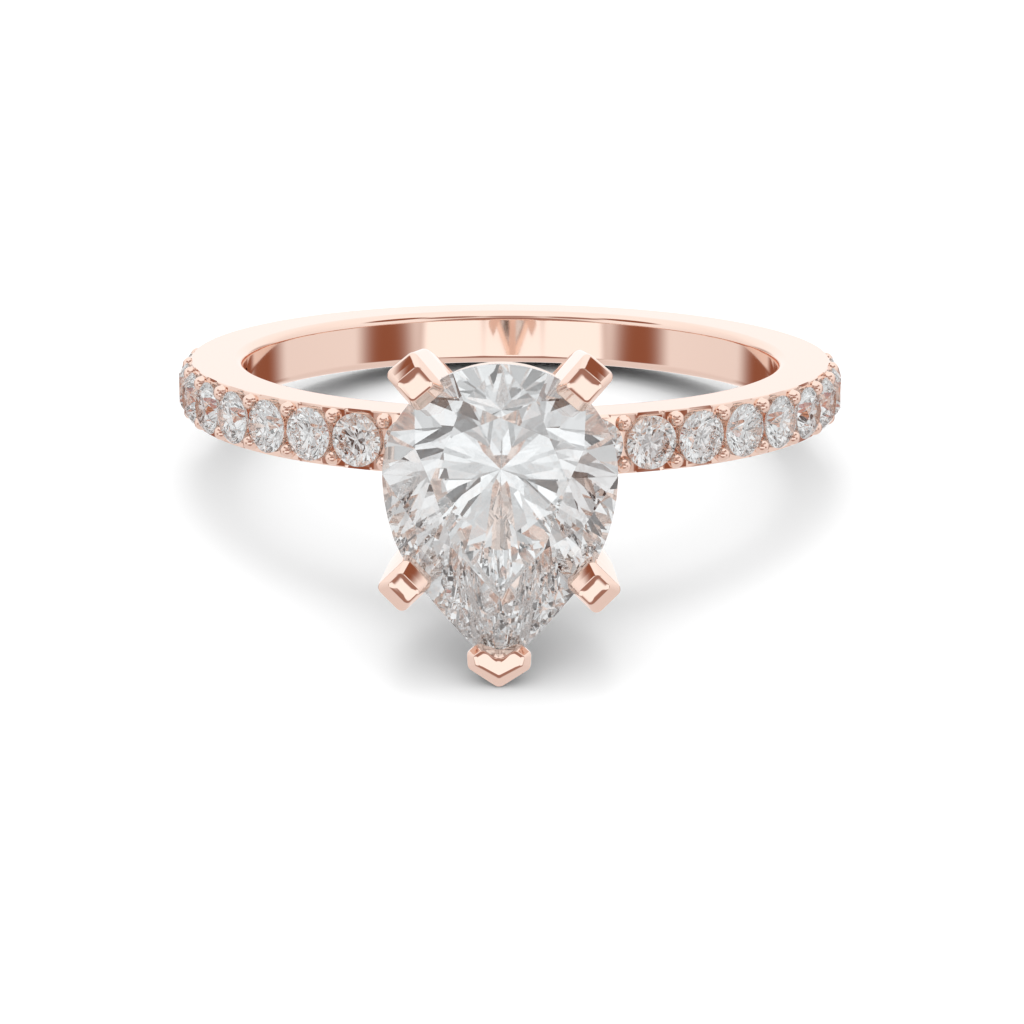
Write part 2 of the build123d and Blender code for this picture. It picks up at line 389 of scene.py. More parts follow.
def pale_floor():
    material, nodes, links = new_material("pale_floor")
    shader = nodes["Principled BSDF"]
    shader.inputs["Base Color"].default_value = (floor_shade, floor_shade, floor_shade, 1)
    shader.inputs["Roughness"].default_value = 0.6
    shader.inputs["Specular IOR Level"].default_value = 0.0
    return material


rose_gold = polished_rose_gold("rose_gold")
band_gold = beaded_rose_gold()
diamond = clear_diamond()


# ---------------------------------------------------------------- node trees
def new_tree(name, numbers, counts=()):
    """Empty geometry tree with a mesh, named sizes, named counts and a material as inputs."""
    tree = bpy.data.node_groups.new(name, "GeometryNodeTree")
    tree.interface.new_socket("Geometry", in_out="INPUT", socket_type="NodeSocketGeometry")
    for number in numbers:
        tree.interface.new_socket(number, in_out="INPUT", socket_type="NodeSocketFloat")
    for count in counts:
        tree.interface.new_socket(count, in_out="INPUT", socket_type="NodeSocketInt")
    tree.interface.new_socket("Finish", in_out="INPUT", socket_type="NodeSocketMaterial")
    tree.interface.new_socket("Geometry", in_out="OUTPUT", socket_type="NodeSocketGeometry")
    return tree, tree.nodes.new("NodeGroupInput").outputs, tree.nodes.new("NodeGroupOutput").inputs


def calculated(tree, operation, *values):
    """Output of one Math node on numbers or other outputs."""
    node = tree.nodes.new("ShaderNodeMath")
    node.operation = operation
    for socket, value in zip(node.inputs, values):
        if isinstance(value, (int, float)):
            socket.default_value = value
        else:
            tree.links.new(value, socket)
    return node.outputs["Value"]


def end_tree(tree, given, result, geometry):
    """Realize the copies and give them their material."""
    realized = tree.nodes.new("GeometryNodeRealizeInstances")
    finished = tree.nodes.new("GeometryNodeSetMaterial")
    tree.links.new(geometry, realized.inputs["Geometry"])
    tree.links.new(realized.outputs["Geometry"], finished.inputs["Geometry"])
    tree.links.new(given["Finish"], finished.inputs["Material"])
    tree.links.new(finished.outputs["Geometry"], result["Geometry"])


def row_tree():
    """Copies of one piece set round the band, the same on both sides of the head."""
    sizes = ("First Angle", "Pitch", "Height")
    tree, given, result = new_tree("row_round_the_band", sizes, ("Count per Side",))
    place = tree.nodes.new("GeometryNodeInputIndex").outputs["Index"]
    step = calculated(tree, "FLOOR", calculated(tree, "DIVIDE", place, 2))
    mirrored = calculated(tree, "MODULO", place, 2)
    side = calculated(tree, "SUBTRACT", 1, calculated(tree, "MULTIPLY", mirrored, 2))
    turn = calculated(tree, "MULTIPLY_ADD", step, given["Pitch"], given["First Angle"])
    turn = calculated(tree, "RADIANS", calculated(tree, "MULTIPLY", turn, side))
    across = calculated(tree, "MULTIPLY", calculated(tree, "SINE", turn), given["Height"])
    back = calculated(tree, "MULTIPLY", calculated(tree, "COSINE", turn), given["Height"])
    position = tree.nodes.new("ShaderNodeCombineXYZ")
    tree.links.new(across, position.inputs["X"])
    tree.links.new(calculated(tree, "MULTIPLY", back, -1), position.inputs["Y"])
    facing = tree.nodes.new("ShaderNodeCombineXYZ")
    facing.inputs["X"].default_value = pi / 2
    tree.links.new(turn, facing.inputs["Z"])
    places = tree.nodes.new("GeometryNodePoints")
    tree.links.new(calculated(tree, "MULTIPLY", given["Count per Side"], 2), places.inputs["Count"])
    tree.links.new(position.outputs["Vector"], places.inputs["Position"])
    copies = tree.nodes.new("GeometryNodeInstanceOnPoints")
    tree.links.new(places.outputs["Geometry"], copies.inputs["Points"])
    tree.links.new(given["Geometry"], copies.inputs["Instance"])
    tree.links.new(facing.outputs["Vector"], copies.inputs["Rotation"])
    end_tree(tree, given, result, copies.outputs["Instances"])
    return tree


def band_tree():
    """The band's section, rounded inside and nearly square outside, swept round the finger."""
    sizes = ("Finger Radius", "Outer Radius", "Width", "Finger Edge", "Outer Edge")
    tree, given, result = new_tree("band_round_the_finger", sizes, ("Steps Round",))
    both = calculated(tree, "ADD", given["Finger Radius"], given["Outer Radius"])
    middle = calculated(tree, "DIVIDE", both, 2)
    path = tree.nodes.new("GeometryNodeCurvePrimitiveCircle")
    tree.links.new(given["Steps Round"], path.inputs["Resolution"])
    tree.links.new(middle, path.inputs["Radius"])
    section = tree.nodes.new("GeometryNodeCurvePrimitiveQuadrilateral")
    thickness = calculated(tree, "SUBTRACT", given["Outer Radius"], given["Finger Radius"])
    tree.links.new(thickness, section.inputs["Width"])
    tree.links.new(given["Width"], section.inputs["Height"])
    corner = tree.nodes.new("ShaderNodeSeparateXYZ")
    tree.links.new(tree.nodes.new("GeometryNodeInputPosition").outputs["Position"], corner.inputs["Vector"])
    inside = calculated(tree, "LESS_THAN", corner.outputs["X"], 0)
    softer = calculated(tree, "SUBTRACT", given["Finger Edge"], given["Outer Edge"])
    rounding = calculated(tree, "MULTIPLY_ADD", inside, softer, given["Outer Edge"])
    rounded = tree.nodes.new("GeometryNodeFilletCurve")
    rounded.mode = "POLY"
    rounded.inputs["Count"].default_value = 7
    tree.links.new(section.outputs["Curve"], rounded.inputs["Curve"])
    tree.links.new(rounding, rounded.inputs["Radius"])
    swept = tree.nodes.new("GeometryNodeCurveToMesh")
    tree.links.new(path.outputs["Curve"], swept.inputs["Curve"])
    tree.links.new(rounded.outputs["Curve"], swept.inputs["Profile Curve"])
    end_tree(tree, given, result, swept.outputs["Mesh"])
    return tree


def grown(name, mesh, tree, material, **sizes):
    """Plain mesh that a tree makes from one mesh and its named sizes."""
    obj = bpy.data.objects.new(name, mesh)
    bpy.context.scene.collection.objects.link(obj)
    modifier = obj.modifiers.new("grow", "NODES")
    modifier.node_group = tree
    values = {key.replace("_", " ").title(): value for key, value in sizes.items()}
    values["Finish"] = material
    for socket in tree.interface.items_tree:
        if socket.in_out == "INPUT" and socket.name.title() in values:
            modifier[socket.identifier] = values[socket.name.title()]
    result = bpy.data.meshes.new_from_object(obj.evaluated_get(bpy.context.evaluated_depsgraph_get()))
    bpy.data.objects.remove(obj)
    result.name = name
    return result


row_round_the_band = row_tree()
band_round_the_finger = band_tree()


# ---------------------------------------------------------------- band
def seat_cutter():
    """The burr's cut for one small stone, with the light hole below it."""
    pavilion = small_pavilion_part * small_radius
    half_girdle = small_girdle_part * small_radius / 2
    slope = small_radius / pavilion
    hole_depth = (small_radius + seat_gap - light_hole_radius) / slope
    hole_bottom = finger_radius - hole_overrun - small_girdle_height
    seat_radius = small_radius + seat_gap
    profile = [
        (0, seat_opening),
        (seat_radius + 0.1, seat_opening),
        (seat_radius, 0.12),
        (seat_radius, -half_girdle),
        (light_hole_radius, -half_girdle - hole_depth),
        (light_hole_radius, hole_bottom),
        (0, hole_bottom),
    ]
    return lathe("seat", profile, 64, closed=False)


def edge_step_cutters():
    """Shallow steps cut in the band's two edges beside one stone, level with each other."""
    low, high = -step_depth, 0.02
    ends = {low: (0.33, 0.45), high: (0.53, 0.65)}
    steps = []
    for edge in (1, -1):
        inner_along, outer_along = edge * step_inner_edge, edge * (band_width / 2 + step_overrun)
        rings = []
        for side in (-1, 1):
            rings.append([
                Vector((side * ends[low][0], inner_along, low)),
                Vector((side * ends[high][0], inner_along, high)),
                Vector((side * ends[high][1], outer_along, high)),
                Vector((side * ends[low][1], outer_along, low)),
            ])
        steps.append(mesh_from_rings("step", rings))
    return joined("steps", steps)


def bead_pair():
    """Two round-topped beads, one by each edge, standing from inside the band."""
    top = bead_top_height - bead_foot_height
    foot_radius, skirt_radius = bead_radius * 1.12, bead_radius * 1.1
    profile = [(0, 0), (foot_radius, 0), (skirt_radius, band_outer_radius - bead_foot_height)]
    rounds = 9
    for step in range(rounds):
        turn = pi / 2 * step / rounds
        profile.append((bead_radius * cos(turn), top - bead_radius * (1 - sin(turn))))
    profile.append((0, top))
    places = [Matrix.Translation((0, edge * bead_offset, 0)) for edge in (1, -1)]
    return joined("beads", [lathe("bead", profile, bead_steps, place, closed=False) for place in places])


def build_band():
    nothing = bpy.data.meshes.new("nothing")
    band = grown("band", nothing, band_round_the_finger, band_gold, finger_radius=finger_radius,
                 outer_radius=band_outer_radius, width=band_width, finger_edge=finger_edge_fillet,
                 outer_edge=outer_edge_fillet, steps_round=720)
    face_outwards(band)
    beads = grown("beads", bead_pair(), row_round_the_band, band_gold,
                  first_angle=small_row_start - small_pitch / 2, pitch=small_pitch,
                  height=bead_foot_height, count_per_side=small_count_per_side + 1)
    steps = grown("steps", edge_step_cutters(), row_round_the_band, band_gold, first_angle=small_row_start,
                  pitch=small_pitch, height=band_outer_radius, count_per_side=small_count_per_side)
    seats = grown("seats", seat_cutter(), row_round_the_band, band_gold, first_angle=small_row_start,
                  pitch=small_pitch, height=small_girdle_height, count_per_side=small_count_per_side)
    band = combined(band, beads, "UNION")
    band = combined(band, steps, "DIFFERENCE")
    band = combined(band, seats, "DIFFERENCE")
    finish_piece("band_polished", smooth_normals(band, 32), band_gold, "rose_gold", "band")


# ---------------------------------------------------------------- brilliant cutting
def round_rim(turn):
    return Vector((small_radius * cos(radians(turn)), small_radius * sin(radians(turn)), 0))


pear_flank_centre = Vector((pear_half_width - pear_flank_radius, 0, 0))
flank_end_turn = radians(-pear_flank_turn)
flank_end = pear_flank_centre + Vector((cos(flank_end_turn), sin(flank_end_turn), 0)) * pear_flank_radius
point_chord = hypot(flank_end.x, flank_end.y + pear_point)
point_bend = radians(90 - pear_flank_turn) - atan2(flank_end.y + pear_point, flank_end.x)
pear_point_radius = point_chord / (2 * sin(point_bend))
pear_point_turn = pear_flank_turn + 2 * degrees(point_bend)


def pear_rim(turn):
    """Point on the pear's rim whose outward direction is turn degrees (-90 is the point)."""
    if abs(turn + 90) < 90 - pear_point_turn:
        return Vector((0, -pear_point, 0))
    side = 1 if cos(radians(turn)) >= 0 else -1
    facing = asin(sin(radians(turn)))
    direction = Vector((cos(facing), sin(facing), 0))
    if facing >= 0:
        reach = hypot(pear_half_width * direction.x, pear_round_end * direction.y)
        rim = Vector((pear_half_width**2 * direction.x, pear_round_end**2 * direction.y, 0)) / reach
    elif facing >= flank_end_turn:
        rim = pear_flank_centre + direction * pear_flank_radius
    else:
        end_direction = Vector((cos(flank_end_turn), sin(flank_end_turn), 0))
        rim = flank_end + (direction - end_direction) * pear_point_radius
    return Vector((side * rim.x, rim.y, 0))


def facet_through(a, b, c):
    """Point and outward direction of the plane through three points of a stone."""
    facing = (b - a).cross(c - a).normalized()
    if facing.dot(a) < 0:
        facing.negate()
    return a, facing


def facet_on_rim(rim_point, turn, target):
    along_rim = Vector((-sin(radians(turn)), cos(radians(turn)), 0))
    return facet_through(rim_point, rim_point + along_rim, target)


def meeting_point(first, second, height):
    """Point where two facet planes and one level meet."""
    a, b = first[1], second[1]
    a_side = a.dot(first[0]) - a.z * height
    b_side = b.dot(second[0]) - b.z * height
    spread = a.x * b.y - a.y * b.x
    across = (a_side * b.y - b_side * a.y) / spread
    up = (a.x * b_side - b.x * a_side) / spread
    return Vector((across, up, height))


def crown_facets(rim, mains, halves, girdle_top, crown):
    """Planes of the table, the kites, the stars and the upper halves."""
    level = Vector((0, 0, girdle_top))
    table_level = Vector((0, 0, girdle_top + crown))
    rim_points = [rim(turn) + level for turn in mains]
    corners = [rim(turn) * table_part + table_level for turn in mains]
    kites = [facet_on_rim(point, turn, corner) for point, turn, corner in zip(rim_points, mains, corners)]
    planes = [(table_level, Vector((0, 0, 1)))] + kites
    for index, half in enumerate(halves):
        following = (index + 1) % len(mains)
        tip = meeting_point(kites[index], kites[following], girdle_top + star_tip_part * crown)
        half_point = rim(half) + level
        planes.append(facet_through(corners[index], corners[following], tip))
        planes.append(facet_through(tip, rim_points[index], half_point))
        planes.append(facet_through(tip, rim_points[following], half_point))
    return planes


def pavilion_facets(rim, mains, halves, girdle_bottom, pavilion):
    """Planes of the pavilion's mains and lower halves."""
    level = Vector((0, 0, -girdle_bottom))
    culet = Vector((0, 0, -girdle_bottom - pavilion))
    rim_points = [rim(turn) + level for turn in mains]
    faces = [facet_on_rim(point, turn, culet) for point, turn in zip(rim_points, mains)]
    planes = list(faces)
    for index, half in enumerate(halves):
        following = (index + 1) % len(mains)
        tip = meeting_point(faces[index], faces[following], -girdle_bottom - lower_half_part * pavilion)
        half_point = rim(half) + level
        planes.append(facet_through(tip, rim_points[index], half_point))
        planes.append(facet_through(tip, rim_points[following], half_point))
    return planes


round_mains = [45 * step for step in range(8)]
round_halves = [turn + 22.5 for turn in round_mains]
pear_crown_mains = [90, 45, 0, -38, -90, -142, -180, -225]
pear_crown_halves = [67.5, 22.5, -20, -44, -136, -160, -202.5, -247.5]
pear_pavilion_mains = [90, 45, 0, -22, -41, -139, -158, -180, -225]
pear_pavilion_halves = [67.5, 22.5, -12, -33, -90, -147, -168, -202.5, -247.5]


def cut_stone(name, rim_turns, rim, facets, low, high):
    """Rough prism on the stone's rim, cut by each facet in turn."""
    work = bmesh.new()
    rim_points = [rim(turn) for turn in rim_turns]
    lower = [work.verts.new(point + Vector((0, 0, low))) for point in rim_points]
    upper = [work.verts.new(point + Vector((0, 0, high))) for point in rim_points]
    count = len(rim_points)
    for index in range(count):
        following = (index + 1) % count
        work.faces.new((lower[index], lower[following], upper[following], upper[index]))
    work.faces.new(upper)
    work.faces.new(list(reversed(lower)))
    for place, facing in facets:
        geometry = work.verts[:] + work.edges[:] + work.faces[:]
        bmesh.ops.bisect_plane(
            work, geom=geometry, dist=1e-6, plane_co=place, plane_no=facing, clear_outer=True)
        open_edges = [edge for edge in work.edges if edge.is_boundary]
        if open_edges:
            bmesh.ops.holes_fill(work, edges=open_edges, sides=0)
    bmesh.ops.recalc_face_normals(work, faces=work.faces)
    for face in work.faces:
        face.smooth = abs(face.normal.z) < 0.001
    mesh = bpy.data.meshes.new(name)
    work.to_mesh(mesh)
    work.free()
    return mesh


def small_stone_mesh():
    half_girdle = small_girdle_part * small_radius / 2
    crown = small_crown_part * small_radius
    pavilion = small_pavilion_part * small_radius
    facets = crown_facets(round_rim, round_mains, round_halves, half_girdle, crown)
    facets += pavilion_facets(round_rim, round_mains, round_halves, half_girdle, pavilion)
    turns = [3.75 * step for step in range(96)]
    return cut_stone("small_stone", turns, round_rim, facets, -half_girdle - pavilion, half_girdle + crown)


def pear_stone_mesh():
    half_girdle = pear_girdle / 2
    facets = crown_facets(pear_rim, pear_crown_mains, pear_crown_halves, half_girdle, pear_crown)
    facets += pavilion_facets(
        pear_rim, pear_pavilion_mains, pear_pavilion_halves, half_girdle, pear_pavilion)
    quarter_steps = int((90 + pear_point_turn) / 2)
    right_side = [-pear_point_turn + 0.6 + 2.0 * step for step in range(quarter_steps)]
    turns = [-90] + right_side + [90] + [180 - turn for turn in reversed(right_side)]
    low, high = -half_girdle - pear_pavilion, half_girdle + pear_crown
    return cut_stone("pear", turns, pear_rim, facets, low, high)


head_place = Matrix.Translation((0, -pear_girdle_height, 0)) @ Matrix.Rotation(radians(90), 4, "X")


def build_stones():
    pear = pear_stone_mesh()
    pear.transform(head_place)
    finish_piece("pear_stone", pear, diamond, "diamond", "centre_stone")
    small = grown("small_stones", small_stone_mesh(), row_round_the_band, diamond,
                  first_angle=small_row_start, pitch=small_pitch, height=small_girdle_height,
                  count_per_side=small_count_per_side)
    numbers = range(1, small_count_per_side + 1)
    nodes = [f"small_stone_{side}_{number}" for side in ("right", "left") for number in numbers]
    finish_piece("round_stones", small, diamond, "diamond", *nodes)


def pear_seat_cutter():
    """The pear a hair larger all round, to cut its seat in the claws."""
    pear = pear_stone_mesh()
    pear.transform(Matrix.Scale(claw_seat_scale, 4))
    pear.transform(head_place)
    return pear


# ---------------------------------------------------------------- claws
def claw_ring(angle, inner, outer, half_width, corner, twist=0.0):
    """One rounded-rectangle ring of a claw, between two points of its side view."""
    span = (outer - inner).length
    corners = [(0, -half_width), (span, -half_width), (span, half_width), (0, half_width)]
    outline = rounded_outline(corners, [min(corner, span / 2.1, half_width / 1.05)] * 4, 5)
    direction = (outer - inner).normalized()
    turn = radians(angle)
    outwards = Vector((cos(turn), 0, sin(turn)))
    sideways = Vector((-sin(turn), 0, cos(turn)))
    middle = (inner + outer) / 2
    spin = radians(twist)
    ring = []
    for point in outline:
        across = point.x - span / 2
        radial = across * cos(spin) - point.y * sin(spin)
        tangential = across * sin(spin) + point.y * cos(spin)
        place = middle + direction * radial
        ring.append(outwards * place.x + Vector((0, -place.y, 0)) + sideways * tangential)
    return ring


# A claw's tip as (height below its top, distance drawn in at the faces and at the
# sides): a soft bevel, then a slightly domed facet.
tip_bevel_profile = [(0.52, 0.0), (0.36, 0.0), (0.19, 0.19), (0.04, 0.345), (0.015, 0.42)]
tip_softness = [0.09, 0.5, 0.09]
tip_side_share = 0.32
dome_rings = 7
dome_shares = [1 - step / dome_rings for step in range(1, dome_rings)]


def softened(profile, radii, steps=5):
    """Open profile with its inner corners rounded."""
    points = [Vector(profile[0])]
    for index, radius in enumerate(radii, start=1):
        points += rounded_corner(profile[index - 1], profile[index], profile[index + 1], radius, steps)
    return points


def claw_tip_rings(angle, inner, outer, twist):
    """Rings of a claw's tip, from its straight sides over the bevel to the domed facet."""
    middle = (inner + outer) / 2
    half = (outer - inner) / 2
    stations = [(below, half - drawn_in, claw_width / 2 - tip_side_share * drawn_in)
                for below, drawn_in in softened(tip_bevel_profile, tip_softness)[1:]]
    edge_below, edge_half, edge_width = stations[-1]
    for share in dome_shares:
        stations.append((edge_below * share * share, edge_half * share, edge_width * share))
    rings = []
    for below, half_reach, half_width in stations:
        height = claw_top_height - below
        low, high = Vector((middle - half_reach, height)), Vector((middle + half_reach, height))
        corner = claw_corner * half_width / (claw_width / 2)
        rings.append(claw_ring(angle, low, high, half_width, corner, twist))
    return rings


def bar_arcs(inner_knee, outer_knee, down):
    """Inner and outer side of a claw's bar, from its knee round into the base."""
    outer_foot = Vector((base_radius - claw_base_inset, claw_foot_height))
    inner_foot = outer_foot + Vector((0, claw_foot_depth))
    inner_arc = tangent_arc(inner_knee, down, inner_foot, claw_arc_steps)
    outer_arc = tangent_arc(outer_knee, down, outer_foot, claw_arc_steps)
    return inner_arc, outer_arc


def downwards(splay):
    """Heading of a claw's side, down and in towards the base."""
    return Vector((-sin(radians(splay)), -cos(radians(splay))))


def build_claw(name, angle, reach, node, twist=0.0):
    """Square claw: a bar that leaves the base, turns up and closes over the stone."""
    inner, outer = reach
    start = claw_top_height - tip_bevel_profile[0][0]
    down = downwards(claw_splay)
    outer_top, inner_top = Vector((outer, start)), Vector((inner, start))
    side = down * claw_straight
    inner_arc, outer_arc = bar_arcs(inner_top + side, outer_top + side, down)
    rings = []
    for step in range(claw_arc_steps, 0, -1):
        part = step / claw_arc_steps
        half_width = (claw_width + (claw_foot_width - claw_width) * part) / 2
        rings.append(claw_ring(angle, inner_arc[step], outer_arc[step], half_width, claw_corner))
    for step in range(claw_side_steps + 1):
        part = step / claw_side_steps
        low, high = inner_top + side * (1 - part), outer_top + side * (1 - part)
        rings.append(claw_ring(angle, low, high, claw_width / 2, claw_corner, twist * part))
    rings += claw_tip_rings(angle, inner, outer, twist)
    mesh = combined(mesh_from_rings(name, rings), pear_seat_cutter(), "DIFFERENCE")
    finish_piece(name, soft_normals(mesh, 35), rose_gold, "rose_gold", node)


# The V claw's outline and the facet on its top, from the point up one side
v_edge_half = [(0, -6.11), (0.9, -5.51), (0.92, -5.06), (0.6, -4.76), (0, -4.99)]
v_edge_radii = [0.24, 0.2, 0.2, 0.22, 0.4, 0.22, 0.2, 0.2]
v_facet_half = [(0, -5.74), (0.66, -5.38), (0.74, -5.1), (0.46, -4.91), (0, -5.22)]
v_facet_radii = [0.14, 0.12, 0.12, 0.13, 0.3, 0.13, 0.12, 0.12]
v_facet_middle = Vector((0, -5.36))
# Its bevel as (depth below the top, share of the way from the edge to the facet)
v_bevel_profile = [(0.34, 0.02), (0.24, 0.06), (0.13, 0.5), (0.035, 0.94), (0.015, 1.1)]
v_softness = [0.03, 0.6, 0.05]


def both_sides(half, radii):
    """Rounded outline of a shape drawn for one side, from its point to its notch."""
    return rounded_outline(half + [(-x, y) for x, y in reversed(half[1:-1])], radii)


def v_wall():
    """Chevron wall with a soft bevel and a slightly domed facet."""
    edge, facet = both_sides(v_edge_half, v_edge_radii), both_sides(v_facet_half, v_facet_radii)
    levels = []
    for below in (v_wall_depth, 0.5):
        levels.append((below, inset(edge, below * tan(radians(v_wall_draft)))))
    for below, share in softened(v_bevel_profile, v_softness):
        levels.append((below, [start.lerp(end, share) for start, end in zip(edge, facet)]))
    for share in dome_shares:
        levels.append((v_dome * share * share, [v_facet_middle.lerp(point, share) for point in facet]))
    rings = []
    for below, ring in levels:
        rings.append([on_head(point.x, point.y, v_top_height - below) for point in ring])
    return mesh_from_rings("v_wall", rings)


def v_bar():
    """Bar that carries the V claw's wall from the base."""
    down = downwards(v_bar_splay)
    outer_top = Vector((v_bar_reach, v_top_height - v_bar_top_drop))
    inner_top = outer_top - Vector((v_bar_depth, 0))
    side = down * v_bar_straight
    inner_arc, outer_arc = bar_arcs(inner_top + side, outer_top + side, down)
    inner_side, outer_side = inner_arc[::-1] + [inner_top], outer_arc[::-1] + [outer_top]
    rings = []
    for inner, outer in zip(inner_side, outer_side):
        rings.append(claw_ring(-90, inner, outer, v_bar_width / 2, v_bar_corner))
    return mesh_from_rings("v_bar", rings)


def build_v_claw():
    """V claw: a chevron wall round the pear's point, on a bar from the base."""
    mesh = combined(v_wall(), v_bar(), "UNION")
    mesh = combined(mesh, pear_seat_cutter(), "DIFFERENCE")
    finish_piece("v_claw_polished", soft_normals(mesh, 35), rose_gold, "rose_gold", "claw_v")


def build_rail():
    """Gallery rail: a pear-shaped loop of rounded wire."""
    right_side = [-pear_point_turn + 3 * step for step in range(46)]
    turns = [-90] + [turn for turn in right_side if turn <= 90] + [90]
    loop = turns + [180 - turn for turn in reversed(turns[1:-1])]
    half = (rail_outer_scale - rail_inner_scale) / 2
    middle = (rail_outer_scale + rail_inner_scale) / 2
    corners = [(-half, 0), (half, 0), (half, rail_depth), (-half, rail_depth)]
    section = rounded_outline(corners, [rail_corner] * 4, 4)
    rings = []
    for turn in loop:
        rim = pear_rim(turn)
        ring = []
        for point in section:
            at = rim * (middle + point.x)
            ring.append(on_head(at.x, at.y, rail_height + point.y))
        rings.append(ring)
    mesh = mesh_from_rings("rail", rings, closed=True)
    finish_piece("gallery_rail_polished", smooth_normals(mesh, 40), rose_gold, "rose_gold", "gallery_rail")


def build_base():
    """Base of the head, a turned cup over the culet."""
    profile = [
        (0, base_bottom_height),
        (base_radius, base_bottom_height),
        (base_rim_radius - 0.02, base_rim_height - 0.05),
        (base_rim_radius - 0.05, base_rim_height),
        (culet_cup_radius, base_rim_height),
        (0, base_rim_height - culet_cup_radius),
    ]
    mesh = lathe("base", profile, 96, Matrix.Rotation(radians(90), 4, "X"), closed=False)
    finish_piece("head_base_polished", smooth_normals(mesh, 30), rose_gold, "rose_gold", "head_base")


build_band()
build_stones()
for side, mirror in (("right", 1), ("left", -1)):
    angle = 90 - mirror * (90 - upper_claw_angle)
    build_claw(f"claw_upper_{side}_polished", angle, upper_claw_reach, f"claw_upper_{side}")
for side, mirror in (("right", 1), ("left", -1)):
    angle = 90 - mirror * (90 - lower_claw_angle)
    twist = mirror * lower_claw_twist
    build_claw(f"claw_lower_{side}_polished", angle, lower_claw_reach, f"claw_lower_{side}", twist)
build_v_claw()
build_rail()
build_base()


# ---------------------------------------------------------------- floor, light, camera
table_level = cad_box[0][2]
floor_mesh = bpy.data.meshes.new("floor")
reach = 0.5
floor_corners = [(-reach, -reach), (reach, -reach), (reach, reach), (-reach, reach)]
floor_mesh.from_pydata([(x, y, table_level) for x, y in floor_corners], [], [(0, 1, 2, 3)])
floor_mesh.materials.append(pale_floor())
floor = bpy.data.objects.new("floor", floor_mesh)
bpy.context.scene.collection.objects.link(floor)
floor.visible_glossy = False
floor.visible_transmission = False


# ---------------------------------------------------------------- studio light
def studio_patch(nodes, links, direction, shade, azimuth, elevation, full, edge, value):
    """Shade mixed towards value within a round soft-edged patch of the studio."""
    turn, rise = radians(azimuth), radians(elevation)
    middle = (sin(turn) * cos(rise), -cos(turn) * cos(rise), sin(rise))
    facing = nodes.new("ShaderNodeVectorMath")
    facing.operation = "DOT_PRODUCT"
    facing.inputs[1].default_value = middle
    links.new(direction, facing.inputs[0])
    cover = nodes.new("ShaderNodeMapRange")
    cover.interpolation_type = "SMOOTHSTEP"
    cover.inputs["From Min"].default_value = cos(radians(edge))
    cover.inputs["From Max"].default_value = cos(radians(full))
    links.new(facing.outputs["Value"], cover.inputs["Value"])
    blend = nodes.new("ShaderNodeMix")
    links.new(cover.outputs["Result"], blend.inputs["Factor"])
    links.new(shade, blend.inputs["A"])
    blend.inputs["B"].default_value = value
    return blend.outputs["Result"]


# Azimuth from the stone's side, elevation, radii of the full and the faded patch, shade
studio_cards = [
    (180, 0, 30, 60, 0.93),
    (0, 0, 34, 46, 0.1),
    (-26, -3, 12, 16, 1.0),
    (0, -3, 12, 16, 1.0),
    (26, -3, 12, 16, 1.0),
    (76, 48, 8, 15, 0.0),
    (38, 50, 8, 15, 0.1),
    (0, 52, 8, 15, 0.2),
    (-38, 50, 8, 15, 0.1),
    (-76, 48, 8, 15, 0.0),
    (57, -6, 0, 17, 0.0),
    (-57, -6, 0, 17, 0.0),
    (140, -20, 4, 24, 0.0),
    (-140, -20, 4, 24, 0.0),
]
plain_strength = 1.36
gold_light_strength = 1.15
warm_shadow = (0.25, 0.09, 0.05, 1)
panel_scale = 4.6
panel_levels = [(0.0, 0.01), (0.15, 0.02), (0.2, 0.3), (0.42, 0.58), (0.7, 0.86), (1.0, 1.12)]
panel_tone = (0.965, 1.0, 1.012)


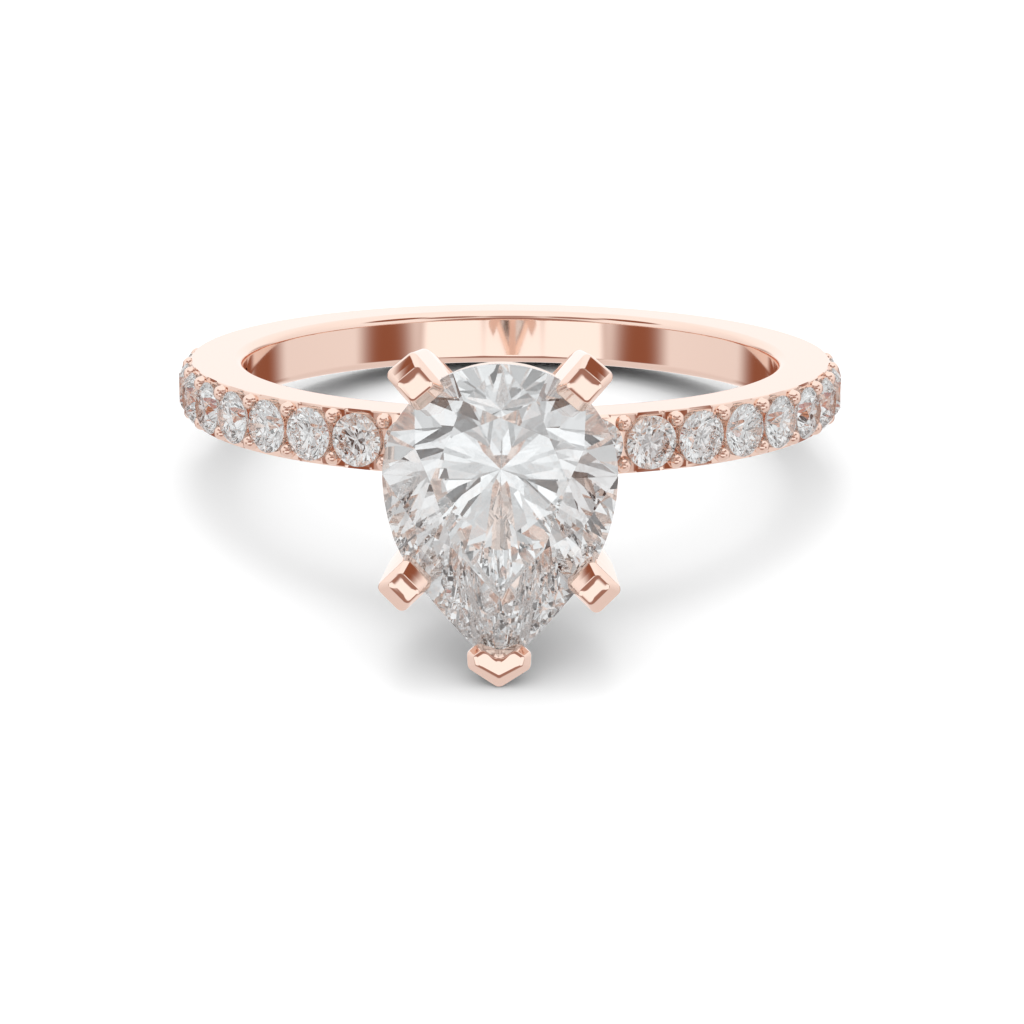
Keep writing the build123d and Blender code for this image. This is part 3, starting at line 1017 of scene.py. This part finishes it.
def light_studio():
    """Plain white for the floor, warm cards for the gold, grey and white panels for the stones."""
    world = bpy.data.worlds.new("studio")
    bpy.context.scene.world = world
    world.use_nodes = True
    nodes, links = world.node_tree.nodes, world.node_tree.links
    seen = nodes.new("ShaderNodeTexCoord")
    around = seen.outputs["Generated"]
    split = nodes.new("ShaderNodeSeparateXYZ")
    links.new(around, split.inputs["Vector"])
    rising = nodes.new("ShaderNodeMapRange")
    rising.inputs["From Min"].default_value = -0.6
    rising.inputs["From Max"].default_value = 0.9
    rising.inputs["To Min"].default_value = 0.62
    rising.inputs["To Max"].default_value = 0.95
    links.new(split.outputs["Z"], rising.inputs["Value"])
    shade = rising.outputs["Result"]
    for card in studio_cards:
        shade = studio_patch(nodes, links, around, shade, *card)
    warmth = nodes.new("ShaderNodeMix")
    warmth.data_type = "RGBA"
    warmth.inputs[6].default_value = warm_shadow
    warmth.inputs[7].default_value = (1, 1, 1, 1)
    links.new(shade, warmth.inputs[0])
    gold_light = nodes["Background"]
    gold_light.inputs["Strength"].default_value = gold_light_strength
    links.new(warmth.outputs[2], gold_light.inputs["Color"])

    panels = nodes.new("ShaderNodeTexVoronoi")
    panels.inputs["Scale"].default_value = panel_scale
    links.new(around, panels.inputs["Vector"])
    levels = nodes.new("ShaderNodeValToRGB")
    stops = levels.color_ramp.elements
    for position, _ in panel_levels[1:-1]:
        stops.new(position)
    for stop, (_, level) in zip(stops, panel_levels):
        stop.color = [level * part for part in panel_tone] + [1]
    links.new(panels.outputs["Color"], levels.inputs["Fac"])
    stone_light = nodes.new("ShaderNodeBackground")
    links.new(levels.outputs["Color"], stone_light.inputs["Color"])

    plain = nodes.new("ShaderNodeBackground")
    plain.inputs["Color"].default_value = (1, 1, 1, 1)
    plain.inputs["Strength"].default_value = plain_strength
    path = nodes.new("ShaderNodeLightPath")
    either = nodes.new("ShaderNodeMath")
    either.operation = "MAXIMUM"
    links.new(path.outputs["Is Camera Ray"], either.inputs[0])
    links.new(path.outputs["Is Diffuse Ray"], either.inputs[1])
    polished = nodes.new("ShaderNodeMixShader")
    through_stone = nodes.new("ShaderNodeMath")
    through_stone.operation = "MINIMUM"
    through_stone.inputs[1].default_value = 1
    links.new(path.outputs["Transmission Depth"], through_stone.inputs[0])
    links.new(through_stone.outputs["Value"], polished.inputs["Fac"])
    links.new(gold_light.outputs["Background"], polished.inputs[1])
    links.new(stone_light.outputs["Background"], polished.inputs[2])
    chosen = nodes.new("ShaderNodeMixShader")
    links.new(either.outputs["Value"], chosen.inputs["Fac"])
    links.new(polished.outputs["Shader"], chosen.inputs[1])
    links.new(plain.outputs["Background"], chosen.inputs[2])
    links.new(chosen.outputs["Shader"], nodes["World Output"].inputs["Surface"])


key_strength = 0.42
key_size = 26
key_elevation = 74
key_azimuth = 10


def key_light():
    """Soft light from behind and above, which lays the ring's shadows on the floor."""
    data = bpy.data.lights.new("key", "SUN")
    data.energy = key_strength
    data.angle = radians(key_size)
    light = bpy.data.objects.new("key", data)
    light.rotation_euler = (radians(-(90 - key_elevation)), 0, radians(key_azimuth))
    light.visible_glossy = False
    light.visible_transmission = False
    bpy.context.scene.collection.objects.link(light)


key_light()
light_studio()

camera_place = Vector((2.196, -111.349, 20.818))
camera_aim = Vector((0.338, -14.0, -1.076))
camera_data = bpy.data.cameras.new("camera")
camera_data.sensor_width = 36
camera_data.lens = 124.45
camera_data.clip_start = 0.005
camera = bpy.data.objects.new("camera", camera_data)
camera.location = to_table @ camera_place
aim = to_table @ camera_aim
camera.rotation_euler = (aim - camera.location).to_track_quat("-Z", "Y").to_euler()
bpy.context.scene.collection.objects.link(camera)
bpy.context.scene.camera = camera

scene = bpy.context.scene
scene.view_settings.view_transform = "Standard"
scene.cycles.max_bounces = 48
scene.cycles.transmission_bounces = 48
scene.cycles.glossy_bounces = 24
scene.cycles.use_denoising = True
scene.cycles.caustics_reflective = False
